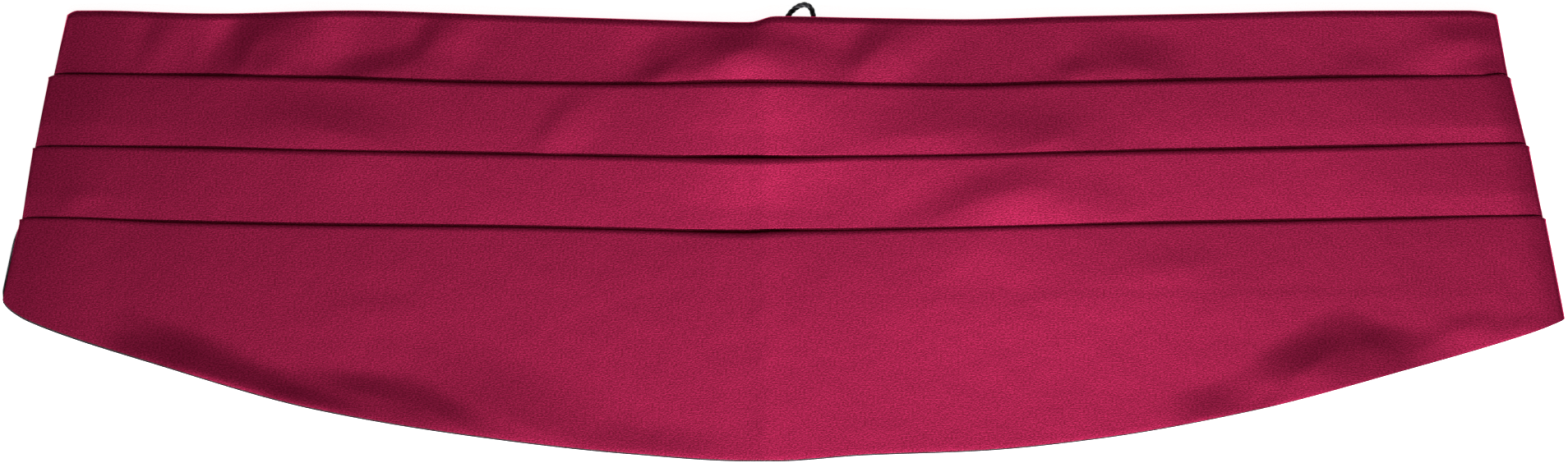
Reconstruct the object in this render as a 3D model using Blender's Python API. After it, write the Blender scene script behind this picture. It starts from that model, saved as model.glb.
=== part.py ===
"""A pleated satin cummerbund, lying flat and face up.

The front panel is one length of satin. Three knife pleats cross it from end to end, with their folded edges
towards the top, and a deep plain strip with a curved hem hangs from the last one. A black lining lies under
it. Behind both, two lengths of elastic meet at a flat hook and its eye, and a cord loop is sewn behind the
top edge.

+X runs along the garment, +Y towards its top and +Z up from the surface it lies on. The origin is on that
surface, in the middle of the garment. Sizes are in millimetres and become metres as each mesh is made.
"""

import bisect
import math
from collections import namedtuple

import bpy
from mathutils import Vector

MM = 0.001

# Cloth
CLOTH = 1.0  # wall of the satin, the lining and the elastic
PLEAT_GAP = 0.3  # between the layers of one pleat
LINING_GAP = 0.4  # between the lining and the satin

# Pleats, each of three layers: the strip above runs in under it, turns back up, and turns over at the fold
PLEAT_DEPTH = 17.0  # from a folded edge to the turn hidden under it
DIP = 1.3  # how far above a folded edge the strip above has come down to the lowest layer
SHOULDER = 1.5  # how far past its hidden turn a strip stays up on three layers
HEM_SLOPE = 24.0  # length of the slope from the last pleat down to the plain lower part
HEM_SLOPE_SHARE = 0.75  # and the most of the way to the hem that it takes, at the shallow ends
TUCK_INSET = 1.6  # how far the hidden layers stop short of the strip that covers them
BEND_STEPS = 4
LAYER_STEPS = 3  # along each layer of a pleat
SLOPE_STEPS = 4

LOW = CLOTH + LINING_GAP + CLOTH / 2
MIDDLE = LOW + CLOTH + PLEAT_GAP
HIGH = MIDDLE + CLOTH + PLEAT_GAP
BEND_RADIUS = (CLOTH + PLEAT_GAP) / 2

# The panel's lines. across goes from -1 at the left end to 1 at the right end, and the others are heights
# above the middle of the garment: its top edge, the three folded edges and the hem.
Line = namedtuple("Line", "across top fold_1 fold_2 fold_3 hem")
LINES = [
    Line(-1.000, 74.5, 52.5, 28.5, 4.0, -22.5),
    Line(-0.985, 76.0, 53.5, 29.0, 4.5, -26.5),
    Line(-0.960, 76.0, 53.5, 29.0, 4.5, -30.0),
    Line(-0.800, 75.0, 53.0, 28.5, 3.0, -44.0),
    Line(-0.600, 76.0, 52.0, 27.5, 2.0, -59.0),
    Line(-0.400, 74.5, 50.5, 26.5, 1.5, -68.0),
    Line(-0.200, 73.0, 50.0, 25.5, 0.5, -74.0),
    Line(-0.045, 72.0, 50.5, 25.0, -0.5, -76.5),
    Line(-0.010, 74.0, 50.5, 25.0, 0.0, -76.5),
    Line(0.100, 73.5, 50.0, 25.5, 0.5, -74.5),
    Line(0.250, 73.0, 49.5, 26.0, 1.5, -73.0),
    Line(0.400, 74.0, 50.5, 27.0, 2.5, -69.0),
    Line(0.600, 75.0, 51.5, 28.0, 3.5, -59.5),
    Line(0.800, 76.0, 52.5, 29.0, 4.5, -45.5),
    Line(0.960, 76.0, 53.0, 30.0, 5.5, -33.0),
    Line(0.985, 75.5, 53.5, 30.0, 5.5, -30.5),
    Line(1.000, 74.5, 52.0, 29.0, 4.5, -28.5),
]

# Ends of each strip, from the folded or sewn edge at its top to the line where the next one covers it
Strip = namedtuple("Strip", "left_top left_bottom right_top right_bottom")
STRIPS = [
    Strip(-242.3, -247.2, 241.3, 245.2),
    Strip(-248.6, -253.4, 246.0, 251.5),
    Strip(-253.9, -257.8, 252.2, 257.0),
    Strip(-258.4, -264.3, 257.8, 264.3),
]

# Cross-sections from end to end, closer at the ends, at the cord loop and at the clasp
Stretch = namedtuple("Stretch", "start end steps")
SECTIONS = [
    Stretch(-1.0, -0.985, 1),
    Stretch(-0.985, -0.96, 1),
    Stretch(-0.96, -0.09, 11),
    Stretch(-0.09, 0.11, 6),
    Stretch(0.11, 0.47, 6),
    Stretch(0.47, 0.96, 6),
    Stretch(0.96, 0.985, 1),
    Stretch(0.985, 1.0, 1),
]

# Lining: how far its edge stops short of the satin, or stands out past it
LINING_TUCKED = 0.8
LINING_HEM_SHOWS = 0.3
LINING_SIDE_SHOWS = 1.4  # at the lower left, where the satin has rolled away from it
SHOWS_FROM = 0.25  # share of the lower strip's side over which it comes out to that, from the top
SHOWS_TO = 0.15  # and goes back again, to the hem

# Elastic strap
STRAP_WIDTH = 25.0
STRAP_HEIGHT = 22.0  # of its middle, above the middle of the garment
STRAP_END_INSET = 4.0  # from the panel's end to the strap's end, sewn under it
STRAP_END_GAP = 2.0  # from a strap's end on the clasp to the nearest rim of the eye

# Clasp: a flat hook sewn on one strap and an eye on the other
CLASP_X = 78.0
PLATE = 0.9
PLATE_GAP = 0.3
PLATE_WIDTH = 20.0
HOOK_LENGTH = 15.0
EYE_LENGTH = 17.0
EYE_RIM = 2.5
EYE_WINDOW = 4.0
STRAP_STEP_START = 1.0  # from the eye's end to where the right strap starts to come down
STRAP_STEP = 5.0  # length over which it comes down

# Cord loop, whose route is in x and y
CORD = 1.8
CORD_LIFT = 0.1  # from the surface to the cord
LOOP_ROUTE = [
    (-0.4, 57.0), (0.2, 63.0), (0.6, 69.0), (1.4, 73.8), (3.0, 76.7), (5.2, 78.2), (7.5, 78.4),
    (9.6, 76.9), (10.4, 73.8), (10.6, 69.0), (10.9, 63.0), (11.4, 57.0),
]  # fmt: skip
LOOP_POINT_SPACING = 3.6

# Pads: where the things behind lift the cloth off the surface. They are the whole strap, the clasp, which is a
# plate thicker than the strap, and the loop's ends.
PAD_CLEARANCE = 0.4
Pad = namedtuple("Pad", "x y half_length half_width slope rise")
PADS = [
    Pad(0.0, STRAP_HEIGHT, 400.0, 15.0, 14.0, CLOTH + PAD_CLEARANCE),
    Pad(CLASP_X + 2.0, STRAP_HEIGHT, 19.0, 14.0, 16.0, PLATE + PLATE_GAP),
    Pad(5.5, 78.0, 8.0, 21.0, 12.0, CORD + CORD_LIFT + PAD_CLEARANCE),
]

# Soft folds in the satin: ridges with rounded ends, turned anticlockwise from +X by angle
Fold = namedtuple("Fold", "x y half_length half_width angle rise")
FOLDS = [
    Fold(-183.0, 62.0, 26.0, 15.0, 38.0, 0.9),
    Fold(-122.0, 63.0, 20.0, 13.0, 55.0, 0.7),
    Fold(-26.0, 58.0, 36.0, 11.0, 4.0, 1.0),
    Fold(27.0, 62.0, 20.0, 13.0, 48.0, 0.6),
    Fold(122.0, 60.0, 26.0, 14.0, -20.0, 0.7),
    Fold(226.0, 64.0, 18.0, 13.0, 80.0, 0.8),
    Fold(-196.0, -33.0, 26.0, 14.0, -34.0, 1.1),
    Fold(-140.0, -50.0, 30.0, 15.0, -30.0, 1.0),
    Fold(-72.0, -55.0, 46.0, 17.0, -18.0, 0.9),
    Fold(152.0, -44.0, 34.0, 16.0, 50.0, 1.2),
    Fold(204.0, -22.0, 28.0, 15.0, 20.0, 0.9),
]


def remove_everything():
    for item in list(bpy.data.objects):
        bpy.data.objects.remove(item, do_unlink=True)


def eased(share):
    """0 to 1 with a level start and end."""
    share = min(max(share, 0.0), 1.0)
    return share * share * (3 - 2 * share)


def spaced(start, end, steps):
    """The points that divide a length into equal steps, both ends included."""
    return [start + (end - start) * i / steps for i in range(steps + 1)]


def slope_at(stations, heights, i):
    """Slope of a smooth line at a station, level where the line turns, so that it never overshoots."""
    if i in (0, len(stations) - 1):
        return 0.0
    before = (heights[i] - heights[i - 1]) / (stations[i] - stations[i - 1])
    after = (heights[i + 1] - heights[i]) / (stations[i + 1] - stations[i])
    return 0.0 if before * after <= 0 else 2 * before * after / (before + after)


def line_at(across):
    """The panel's lines at any place across it."""
    stations = [line.across for line in LINES]
    i = min(max(bisect.bisect_right(stations, across) - 1, 0), len(LINES) - 2)
    width = stations[i + 1] - stations[i]
    t = (across - stations[i]) / width
    values = [across]
    for heights in list(zip(*LINES))[1:]:
        start = slope_at(stations, heights, i) * width
        end = slope_at(stations, heights, i + 1) * width
        values.append(
            heights[i] * (2 * t**3 - 3 * t**2 + 1)
            + start * (t**3 - 2 * t**2 + t)
            + heights[i + 1] * (3 * t**2 - 2 * t**3)
            + end * (t**3 - t**2)
        )
    return Line(*values)


def pad_height(x, y):
    """How far the strap, the clasp and the loop lift the cloth above the surface."""
    height = 0.0
    for pad in PADS:
        along = 1 - (abs(x - pad.x) - pad.half_length) / pad.slope
        over = 1 - (abs(y - pad.y) - pad.half_width) / pad.slope
        height += pad.rise * eased(along) * eased(over)
    return height


def fold_height(x, y):
    """How far the soft folds lift the satin above its lining."""
    height = 0.0
    for fold in FOLDS:
        turn = math.radians(fold.angle)
        along = (x - fold.x) * math.cos(turn) + (y - fold.y) * math.sin(turn)
        over = (y - fold.y) * math.cos(turn) - (x - fold.x) * math.sin(turn)
        away = math.hypot(along / fold.half_length, over / fold.half_width)
        height += fold.rise * eased(1 - away)
    return height


def place(strip, down, across, inset):
    """The x of a point of a strip, at a fraction of the way down it and across it."""
    row = STRIPS[strip]
    left = row.left_top + (row.left_bottom - row.left_top) * down + inset
    right = row.right_top + (row.right_bottom - row.right_top) * down - inset
    return left + (right - left) * (across + 1) / 2


Knot = namedtuple("Knot", "strip y z inset")


def bend(strip, y, z, towards, inset):
    """A half turn of the satin in cross-section, from the layer below z to the layer above it."""
    return [
        Knot(
            strip,
            y + towards * BEND_RADIUS * math.sin(turn),
            z - BEND_RADIUS * math.cos(turn),
            inset,
        )
        for turn in spaced(0, math.pi, BEND_STEPS)
    ]


def slope_down(strip, start, end):
    """The slope from the top of a pleat to the lowest layer."""
    return [
        Knot(strip, start + (end - start) * share, HIGH + (LOW - HIGH) * eased(share), 0.0)
        for share in spaced(0, 1, SLOPE_STEPS)[1:]
    ]


def panel_path(line):
    """The middle of the satin in one cross-section, from the top edge down to the hem."""
    ends = [line.top, line.fold_1, line.fold_2, line.fold_3, line.hem]
    path = [Knot(0, y, LOW, 0.0) for y in spaced(line.top, line.fold_1 + DIP, LAYER_STEPS + 1)]
    for strip in (1, 2, 3):
        edge = ends[strip]
        nose = edge - BEND_RADIUS - CLOTH / 2
        turn = edge - PLEAT_DEPTH
        path += [Knot(strip, y, LOW, TUCK_INSET) for y in spaced(nose, turn, LAYER_STEPS)[:-1]]
        path += bend(strip, turn, (LOW + MIDDLE) / 2, -1, TUCK_INSET)
        path += [
            Knot(strip, y, MIDDLE, TUCK_INSET * (nose - y) / (nose - turn))
            for y in spaced(turn, nose, LAYER_STEPS)[1:-1]
        ]
        path += bend(strip, nose, (MIDDLE + HIGH) / 2, 1, 0.0)
        shoulder = turn - SHOULDER
        path += [Knot(strip, y, HIGH, 0.0) for y in spaced(nose, shoulder, LAYER_STEPS)[1:]]
        if strip < 3:
            path += slope_down(strip, shoulder, ends[strip + 1] + DIP)
        else:
            slope = min(HEM_SLOPE, HEM_SLOPE_SHARE * (shoulder - line.hem))
            path += slope_down(strip, shoulder, shoulder - slope)
            path += [Knot(strip, y, LOW, 0.0) for y in spaced(shoulder - slope, line.hem, LAYER_STEPS)[1:]]
    return path


def lining_path(line):
    """The middle of the lining in one cross-section, on the same heights as the satin's lowest layer."""
    rows = [
        Knot(knot.strip, knot.y, CLOTH / 2, LINING_TUCKED)
        for knot in panel_path(line)
        if abs(knot.z - LOW) < 1e-6
    ]
    level = [row for i, row in enumerate(rows) if i == 0 or rows[i - 1].y - row.y > 0.1]
    top = level[0]._replace(y=line.top - LINING_TUCKED)
    hem = level[-1]._replace(y=line.hem - LINING_HEM_SHOWS)
    return [top] + level[1:-1] + [hem]


def wall(path, thickness):
    """Upper and lower faces of a wall about its middle line, mitred where the line turns."""
    directions = []
    for a, b in zip(path, path[1:]):
        directions.append(Vector((b.y - a.y, b.z - a.z)).normalized())
    upper, lower = [], []
    for i, knot in enumerate(path):
        before = directions[max(i - 1, 0)]
        after = directions[min(i, len(directions) - 1)]
        middle = (before + after).normalized()
        normal = Vector((-middle.y, middle.x))
        reach = thickness / 2 / max(middle.dot(after), 0.5)
        # The line runs towards -y, so the face above a layer is on its other side.
        upper.append((knot.y - normal.x * reach, knot.z - normal.y * reach))
        lower.append((knot.y + normal.x * reach, knot.z + normal.y * reach))
    return upper, lower


def new_object(name, points, faces, material):
    mesh = bpy.data.meshes.new(name)
    mesh.from_pydata([Vector(point) * MM for point in points], [], faces)
    mesh.update()
    item = bpy.data.objects.new(name, mesh)
    bpy.context.scene.collection.objects.link(item)
    mesh.materials.append(material)
    return item


def cloth_object(name, rings, material):
    """A wall of cloth from its cross-sections, each a pair of lines: its upper and its lower points."""
    count = len(rings[0][0])
    points = [point for upper, lower in rings for point in upper + lower]

    def at(ring, side, i):
        return ring * 2 * count + side * count + i

    faces = []
    for ring in range(len(rings) - 1):
        for i in range(count - 1):
            faces.append((at(ring, 0, i), at(ring, 0, i + 1), at(ring + 1, 0, i + 1), at(ring + 1, 0, i)))
            faces.append((at(ring, 1, i), at(ring + 1, 1, i), at(ring + 1, 1, i + 1), at(ring, 1, i + 1)))
        for i, order in ((0, 1), (count - 1, -1)):
            edge = (at(ring, 0, i), at(ring + 1, 0, i), at(ring + 1, 1, i), at(ring, 1, i))
            faces.append(edge[::order])
    for ring, order in ((0, 1), (len(rings) - 1, -1)):
        for i in range(count - 1):
            end = (at(ring, 0, i), at(ring, 1, i), at(ring, 1, i + 1), at(ring, 0, i + 1))
            faces.append(end[::order])
    return new_object(name, points, faces, material)


def sections():
    """Places across the garment where it has a cross-section."""
    values = [SECTIONS[0].start]
    for stretch in SECTIONS:
        values += spaced(stretch.start, stretch.end, stretch.steps)[1:]
    return values


def cloth_rings(path_of, side_reach, lift_of):
    """The cross-sections of a wall of cloth, spread over the garment's outline and lifted off the surface."""
    rings = []
    for across in sections():
        line = line_at(across)
        path = path_of(line)
        ends = [line.top, line.fold_1, line.fold_2, line.fold_3, line.hem]
        ring = []
        for face in wall(path, CLOTH):
            points = []
            for knot, (y, z) in zip(path, face):
                top, bottom = ends[knot.strip], ends[knot.strip + 1]
                down = min(max((top - knot.y) / (top - bottom), 0.0), 1.0)
                x = place(knot.strip, down, across, knot.inset) + side_reach(knot.strip, down, across)
                points.append((x, y, z + lift_of(x, knot.y)))
            ring.append(points)
        rings.append(ring)
    return rings


def front_panel(material):
    def reach(strip, down, across):
        return 0.0

    def lift(x, y):
        return pad_height(x, y) + fold_height(x, y)

    return cloth_object("front_panel", cloth_rings(panel_path, reach, lift), material)


def back_lining(material):
    def reach(strip, down, across):
        """The lining slides out past the satin at the lower left end."""
        if strip < 3 or across > 0:
            return 0.0
        out = eased(down / SHOWS_FROM) * eased((1 - down) / SHOWS_TO)
        return -(LINING_TUCKED + LINING_SIDE_SHOWS * out) * eased(-across)

    return cloth_object("back_lining", cloth_rings(lining_path, reach, pad_height), material)


def extruded(name, outline, y_low, y_high, material):
    """A solid whose side view is an outline of (x, z) points, anticlockwise seen from the front."""
    count = len(outline)
    points = [(x, y_low, z) for x, z in outline] + [(x, y_high, z) for x, z in outline]
    faces = [tuple(range(count)), tuple(reversed(range(count, 2 * count)))]
    for i in range(count):
        after = (i + 1) % count
        faces.append((i, i + count, after + count, after))
    return new_object(name, points, faces, material)


def strap_outline(route):
    """Side view of a strap: its underside from left to right, and back along its top."""
    return route + [(x, z + CLOTH) for x, z in reversed(route)]


def strap_left(material):
    start = STRIPS[2].left_top + STRAP_END_INSET
    route = [(start, 0.0), (CLASP_X - EYE_RIM - STRAP_END_GAP, 0.0)]
    low, high = STRAP_HEIGHT - STRAP_WIDTH / 2, STRAP_HEIGHT + STRAP_WIDTH / 2
    return extruded("strap_left", strap_outline(route), low, high, material)


def strap_right(material):
    """The right strap's end lies on the eye, and the strap comes down beside it to the surface."""
    start = CLASP_X + EYE_WINDOW + STRAP_END_GAP
    step = CLASP_X - EYE_RIM + EYE_LENGTH + STRAP_STEP_START
    end = STRIPS[2].right_top - STRAP_END_INSET
    on_eye = PLATE + PLATE_GAP
    route = [(start, on_eye), (step, on_eye), (step + STRAP_STEP, 0.0), (end, 0.0)]
    low, high = STRAP_HEIGHT - STRAP_WIDTH / 2, STRAP_HEIGHT + STRAP_WIDTH / 2
    return extruded("strap_right", strap_outline(route), low, high, material)


def clasp_hook(material):
    """A flat plate on the left strap whose far end turns down through the eye's window."""
    under = CLOTH + PLATE_GAP
    lip = CLASP_X + PLATE_GAP
    outline = [
        (lip + PLATE - HOOK_LENGTH, under),
        (lip, under),
        (lip, PLATE_GAP),
        (lip + PLATE, PLATE_GAP),
        (lip + PLATE, under + PLATE),
        (lip + PLATE - HOOK_LENGTH, under + PLATE),
    ]
    half = PLATE_WIDTH / 2 - EYE_RIM - PLATE_GAP
    return extruded("clasp_hook", outline, STRAP_HEIGHT - half, STRAP_HEIGHT + half, material)


def clasp_eye(material):
    """A flat plate with a window, whose left rim is the bar that the hook holds."""
    left = CLASP_X - EYE_RIM
    right = left + EYE_LENGTH
    low, high = STRAP_HEIGHT - PLATE_WIDTH / 2, STRAP_HEIGHT + PLATE_WIDTH / 2
    window_right = CLASP_X + EYE_WINDOW
    outer = [(left, low), (right, low), (right, high), (left, high)]
    inner = [
        (CLASP_X, low + EYE_RIM),
        (window_right, low + EYE_RIM),
        (window_right, high - EYE_RIM),
        (CLASP_X, high - EYE_RIM),
    ]
    points = [(x, y, z) for z in (0.0, PLATE) for x, y in outer + inner]
    faces = []
    for i in range(4):
        after = (i + 1) % 4
        faces.append((i, i + 4, after + 4, after))
        faces.append((i + 8, after + 8, after + 12, i + 12))
        faces.append((i, after, after + 8, i + 8))
        faces.append((i + 4, i + 12, after + 12, after + 4))
    return new_object("clasp_eye", points, faces, material)


def smooth_route(route, spacing):
    """Points at an even spacing on a smooth curve through a route."""
    fine = []
    padded = [route[0]] + route + [route[-1]]
    for a, b, c, d in zip(padded, padded[1:], padded[2:], padded[3:]):
        a, b, c, d = (Vector(point) for point in (a, b, c, d))
        for t in spaced(0, 1, 20)[:-1]:
            fine.append(
                0.5
                * (2 * b + (c - a) * t + (2 * a - 5 * b + 4 * c - d) * t**2 + (3 * b - a - 3 * c + d) * t**3)
            )
    fine.append(Vector(route[-1]))
    reached = [0.0]
    for a, b in zip(fine, fine[1:]):
        reached.append(reached[-1] + (b - a).length)
    steps = round(reached[-1] / spacing)
    points = []
    for distance in spaced(0, reached[-1], steps):
        i = min(max(bisect.bisect_right(reached, distance) - 1, 0), len(fine) - 2)
        share = (distance - reached[i]) / (reached[i + 1] - reached[i])
        points.append(fine[i].lerp(fine[i + 1], share))
    return points


def top_loop(material):
    """A cord bent into a loop behind the top edge, both ends sewn to the back of the lining."""
    height = CORD / 2 + CORD_LIFT
    points = smooth_route(LOOP_ROUTE, LOOP_POINT_SPACING)
    curve = bpy.data.curves.new("top_loop", "CURVE")
    curve.dimensions = "3D"
    curve.bevel_depth = CORD / 2 * MM
    curve.bevel_resolution = 2
    curve.use_fill_caps = True
    spline = curve.splines.new("POLY")
    spline.points.add(len(points) - 1)
    for target, point in zip(spline.points, points):
        target.co = (point.x * MM, point.y * MM, height * MM, 1.0)
    curve.materials.append(material)
    item = bpy.data.objects.new("top_loop", curve)
    bpy.context.scene.collection.objects.link(item)
    return item


def finish(name, colour, roughness, metallic):
    material = bpy.data.materials.new(name)
    material.use_nodes = True
    shader = material.node_tree.nodes["Principled BSDF"]
    shader.inputs["Base Color"].default_value = (*colour, 1.0)
    shader.inputs["Roughness"].default_value = roughness
    shader.inputs["Metallic"].default_value = metallic
    return material


def shade(item):
    """Smooth over the soft bends, sharp at the cut edges."""
    item.data.shade_smooth()
    item.data.set_sharp_from_angle(angle=math.radians(50))


def main():
    remove_everything()
    satin = finish("burgundy satin", (0.30, 0.012, 0.060), 0.38, 0.0)
    black_cloth = finish("black lining", (0.010, 0.010, 0.011), 0.70, 0.0)
    black_elastic = finish("black elastic", (0.013, 0.013, 0.014), 0.85, 0.0)
    black_cord = finish("black cord", (0.008, 0.008, 0.009), 0.60, 0.0)
    black_metal = finish("black painted steel", (0.020, 0.020, 0.022), 0.35, 1.0)
    shade(front_panel(satin))
    shade(back_lining(black_cloth))
    strap_left(black_elastic)
    strap_right(black_elastic)
    clasp_hook(black_metal)
    clasp_eye(black_metal)
    top_loop(black_cord)


main()
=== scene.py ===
"""The finish of a pleated satin cummerbund that lies flat and face up.

The satin is one thin sheet folded through its three pleats, on the form of its solid, with the soft creases
of cloth that has been worn and put away. Under it are the black lining, the elastic strap with its clasp, and
the cord loop sewn behind the top edge. Sizes in the tables are millimetres, and MM turns them into metres.
"""

import bisect
import math
from collections import namedtuple

import bpy
import numpy as np
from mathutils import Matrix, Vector


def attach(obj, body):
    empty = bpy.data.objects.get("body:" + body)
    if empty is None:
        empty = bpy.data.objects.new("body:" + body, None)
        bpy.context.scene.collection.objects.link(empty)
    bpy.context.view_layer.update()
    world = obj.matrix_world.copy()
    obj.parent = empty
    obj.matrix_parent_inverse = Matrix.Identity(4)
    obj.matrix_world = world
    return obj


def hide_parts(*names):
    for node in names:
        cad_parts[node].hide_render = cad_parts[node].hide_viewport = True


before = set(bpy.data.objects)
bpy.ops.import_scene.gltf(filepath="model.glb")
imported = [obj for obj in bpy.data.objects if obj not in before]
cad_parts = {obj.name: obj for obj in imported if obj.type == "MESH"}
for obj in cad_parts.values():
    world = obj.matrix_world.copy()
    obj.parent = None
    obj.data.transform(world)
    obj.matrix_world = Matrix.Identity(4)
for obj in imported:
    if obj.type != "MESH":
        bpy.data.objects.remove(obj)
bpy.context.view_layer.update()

MM = 0.001

# Camera and light

IMAGE_WIDTH = 1908
IMAGE_HEIGHT = 564
PIXELS_PER_MM = 3.6
GARMENT_MIDDLE_PIXEL = (953.5, 286.5)  # the pixel that the origin falls on
CLOTH_HEIGHT = 3.0  # the height that the scale holds at, about that of the satin's face
LENS = 100.0
SENSOR = 36.0
NEAREST, FARTHEST = 0.05, 20  # metres from the camera

# Places, aims and sizes of the lights are in metres.
Light = namedtuple("Light", "name place aim width depth power colour")
LIGHTS = [
    # a low, narrow light from the side of the hem: satin that turns from it by a degree or two darkens
    Light("key", (0.2, -0.97, 0.95), (0.04, 0.0, 0.0), 0.55, 0.14, 40.0, (1.0, 0.98, 1.05)),
    # a weak one from above, which keeps the dark sides of the creases from going black
    Light("overhead", (0.1, -0.5, 1.6), (0.0, 0.0, 0.0), 0.8, 0.6, 1.2, (1.0, 0.96, 0.86)),
]
SURROUNDINGS = 0.03  # strength of the white light from all round


def set_camera():
    """Straight above the garment, with a long lens, so that nearly nothing of the folds' sides shows."""
    height = IMAGE_WIDTH / PIXELS_PER_MM * LENS / SENSOR * MM
    camera = bpy.data.objects.new("camera", bpy.data.cameras.new("camera"))
    camera.data.lens = LENS
    camera.data.sensor_width = SENSOR
    camera.data.clip_start = NEAREST
    camera.data.clip_end = FARTHEST
    across = (IMAGE_WIDTH / 2 - GARMENT_MIDDLE_PIXEL[0]) / PIXELS_PER_MM * MM
    along = (GARMENT_MIDDLE_PIXEL[1] - IMAGE_HEIGHT / 2) / PIXELS_PER_MM * MM
    camera.location = (across, along, height + CLOTH_HEIGHT * MM)
    bpy.context.scene.collection.objects.link(camera)
    bpy.context.scene.camera = camera


def add_light(name, place, aim, width, depth, power, colour):
    light = bpy.data.lights.new(name, "AREA")
    light.shape = "RECTANGLE"
    light.size = width
    light.size_y = depth
    light.energy = power
    light.color = colour
    item = bpy.data.objects.new(name, light)
    item.location = place
    item.rotation_euler = (Vector(aim) - Vector(place)).to_track_quat("-Z", "Y").to_euler()
    bpy.context.scene.collection.objects.link(item)


def set_light():
    for light in LIGHTS:
        add_light(*light)
    world = bpy.data.worlds.new("studio")
    world.use_nodes = True
    world.node_tree.nodes["Background"].inputs["Color"].default_value = (1.0, 1.0, 1.0, 1.0)
    world.node_tree.nodes["Background"].inputs["Strength"].default_value = SURROUNDINGS
    bpy.context.scene.world = world
    bpy.context.scene.view_settings.view_transform = "Standard"


# Modelling helpers

SMOOTH_UP_TO = 60.0  # degrees


def deselect_all():
    if bpy.context.mode != "OBJECT":
        bpy.ops.object.mode_set(mode="OBJECT")
    bpy.ops.object.select_all(action="DESELECT")


def use(item):
    deselect_all()
    bpy.context.view_layer.objects.active = item
    item.select_set(True)


def apply_modifier(item, kind, **settings):
    use(item)
    modifier = item.modifiers.new(kind.lower(), kind)
    for name, value in settings.items():
        setattr(modifier, name, value)
    bpy.ops.object.modifier_apply(modifier=modifier.name)


def finish_piece(item, node_names, material):
    item.data.materials.clear()
    item.data.materials.append(material)
    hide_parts(*node_names)
    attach(item, "root")


def smooth(item):
    """Rounds the shading of all but the sharp edges."""
    use(item)
    bpy.ops.object.shade_smooth_by_angle(angle=math.radians(SMOOTH_UP_TO))


def join(parts, name):
    """One piece made of several."""
    deselect_all()
    for part in parts:
        part.select_set(True)
    bpy.context.view_layer.objects.active = parts[0]
    bpy.ops.object.join()
    item = bpy.context.active_object
    item.name = item.data.name = name
    return item


def eased(share):
    """0 to 1 with a level start and end, for a number or an array."""
    share = np.clip(share, 0.0, 1.0)
    return share * share * (3 - 2 * share)


def spaced(start, end, steps):
    """The points that divide a length into equal steps, both ends included."""
    return [start + (end - start) * i / steps for i in range(steps + 1)]


# The garment's lines, as in its solids

# Heights of its edges and folded edges at places across it, from -1 at the left end to 1 at the right end.
Line = namedtuple("Line", "across top fold_1 fold_2 fold_3 hem")
LINES = [
    Line(-1.000, 74.5, 52.5, 28.5, 4.0, -22.5),
    Line(-0.985, 76.0, 53.5, 29.0, 4.5, -26.5),
    Line(-0.960, 76.0, 53.5, 29.0, 4.5, -30.0),
    Line(-0.800, 75.0, 53.0, 28.5, 3.0, -44.0),
    Line(-0.600, 76.0, 52.0, 27.5, 2.0, -59.0),
    Line(-0.400, 74.5, 50.5, 26.5, 1.5, -68.0),
    Line(-0.200, 73.0, 50.0, 25.5, 0.5, -74.0),
    Line(-0.045, 72.0, 50.5, 25.0, -0.5, -76.5),
    Line(-0.010, 74.0, 50.5, 25.0, 0.0, -76.5),
    Line(0.100, 73.5, 50.0, 25.5, 0.5, -74.5),
    Line(0.250, 73.0, 49.5, 26.0, 1.5, -73.0),
    Line(0.400, 74.0, 50.5, 27.0, 2.5, -69.0),
    Line(0.600, 75.0, 51.5, 28.0, 3.5, -59.5),
    Line(0.800, 76.0, 52.5, 29.0, 4.5, -45.5),
    Line(0.960, 76.0, 53.0, 30.0, 5.5, -33.0),
    Line(0.985, 75.5, 53.5, 30.0, 5.5, -30.5),
    Line(1.000, 74.5, 52.0, 29.0, 4.5, -28.5),
]

# x of the two ends of each strip that shows, at its top and at its bottom, from the top strip down
Strip = namedtuple("Strip", "left_top left_bottom right_top right_bottom")
STRIPS = [
    Strip(-242.3, -247.2, 241.3, 245.2),
    Strip(-248.6, -253.4, 246.0, 251.5),
    Strip(-253.9, -257.8, 252.2, 257.0),
    Strip(-258.4, -264.3, 257.8, 264.3),
]

HALF_WIDTH = 255.0  # of the garment, about
CORNER_SLOPE = 1.6  # how much steeper the lines are at the very corners, which rounds them

STRAP_HEIGHT = 22.0
CLASP_X = 78.0
# What lies under the cloth and lifts it: the strap, the clasp, and the legs of the loop. slope is the width
# over which the cloth comes down beside it.
Pad = namedtuple("Pad", "x y half_length half_width slope rise")
PADS = [
    Pad(0.0, STRAP_HEIGHT, 400.0, 13.5, 46.0, 1.4),
    Pad(CLASP_X + 3.0, STRAP_HEIGHT, 20.0, 13.5, 30.0, 1.2),
    Pad(5.5, 78.0, 8.0, 19.0, 24.0, 2.0),
]


def slope_at(stations, heights, i):
    """Slope of a smooth line at a station, level where the line turns, so that it never overshoots."""
    if i == 0:
        return CORNER_SLOPE * (heights[1] - heights[0]) / (stations[1] - stations[0])
    if i == len(stations) - 1:
        return CORNER_SLOPE * (heights[-1] - heights[-2]) / (stations[-1] - stations[-2])
    before = (heights[i] - heights[i - 1]) / (stations[i] - stations[i - 1])
    after = (heights[i + 1] - heights[i]) / (stations[i + 1] - stations[i])
    return 0.0 if before * after <= 0 else 2 * before * after / (before + after)


def line_at(across):
    """The panel's lines at any place across it."""
    stations = [line.across for line in LINES]
    i = min(max(bisect.bisect_right(stations, across) - 1, 0), len(LINES) - 2)
    width = stations[i + 1] - stations[i]
    t = (across - stations[i]) / width
    values = [across]
    for heights in list(zip(*LINES))[1:]:
        start = slope_at(stations, heights, i) * width
        end = slope_at(stations, heights, i + 1) * width
        values.append(
            heights[i] * (2 * t**3 - 3 * t**2 + 1)
            + start * (t**3 - 2 * t**2 + t)
            + heights[i + 1] * (3 * t**2 - 2 * t**3)
            + end * (t**3 - t**2)
        )
    return Line(*values)


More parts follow.
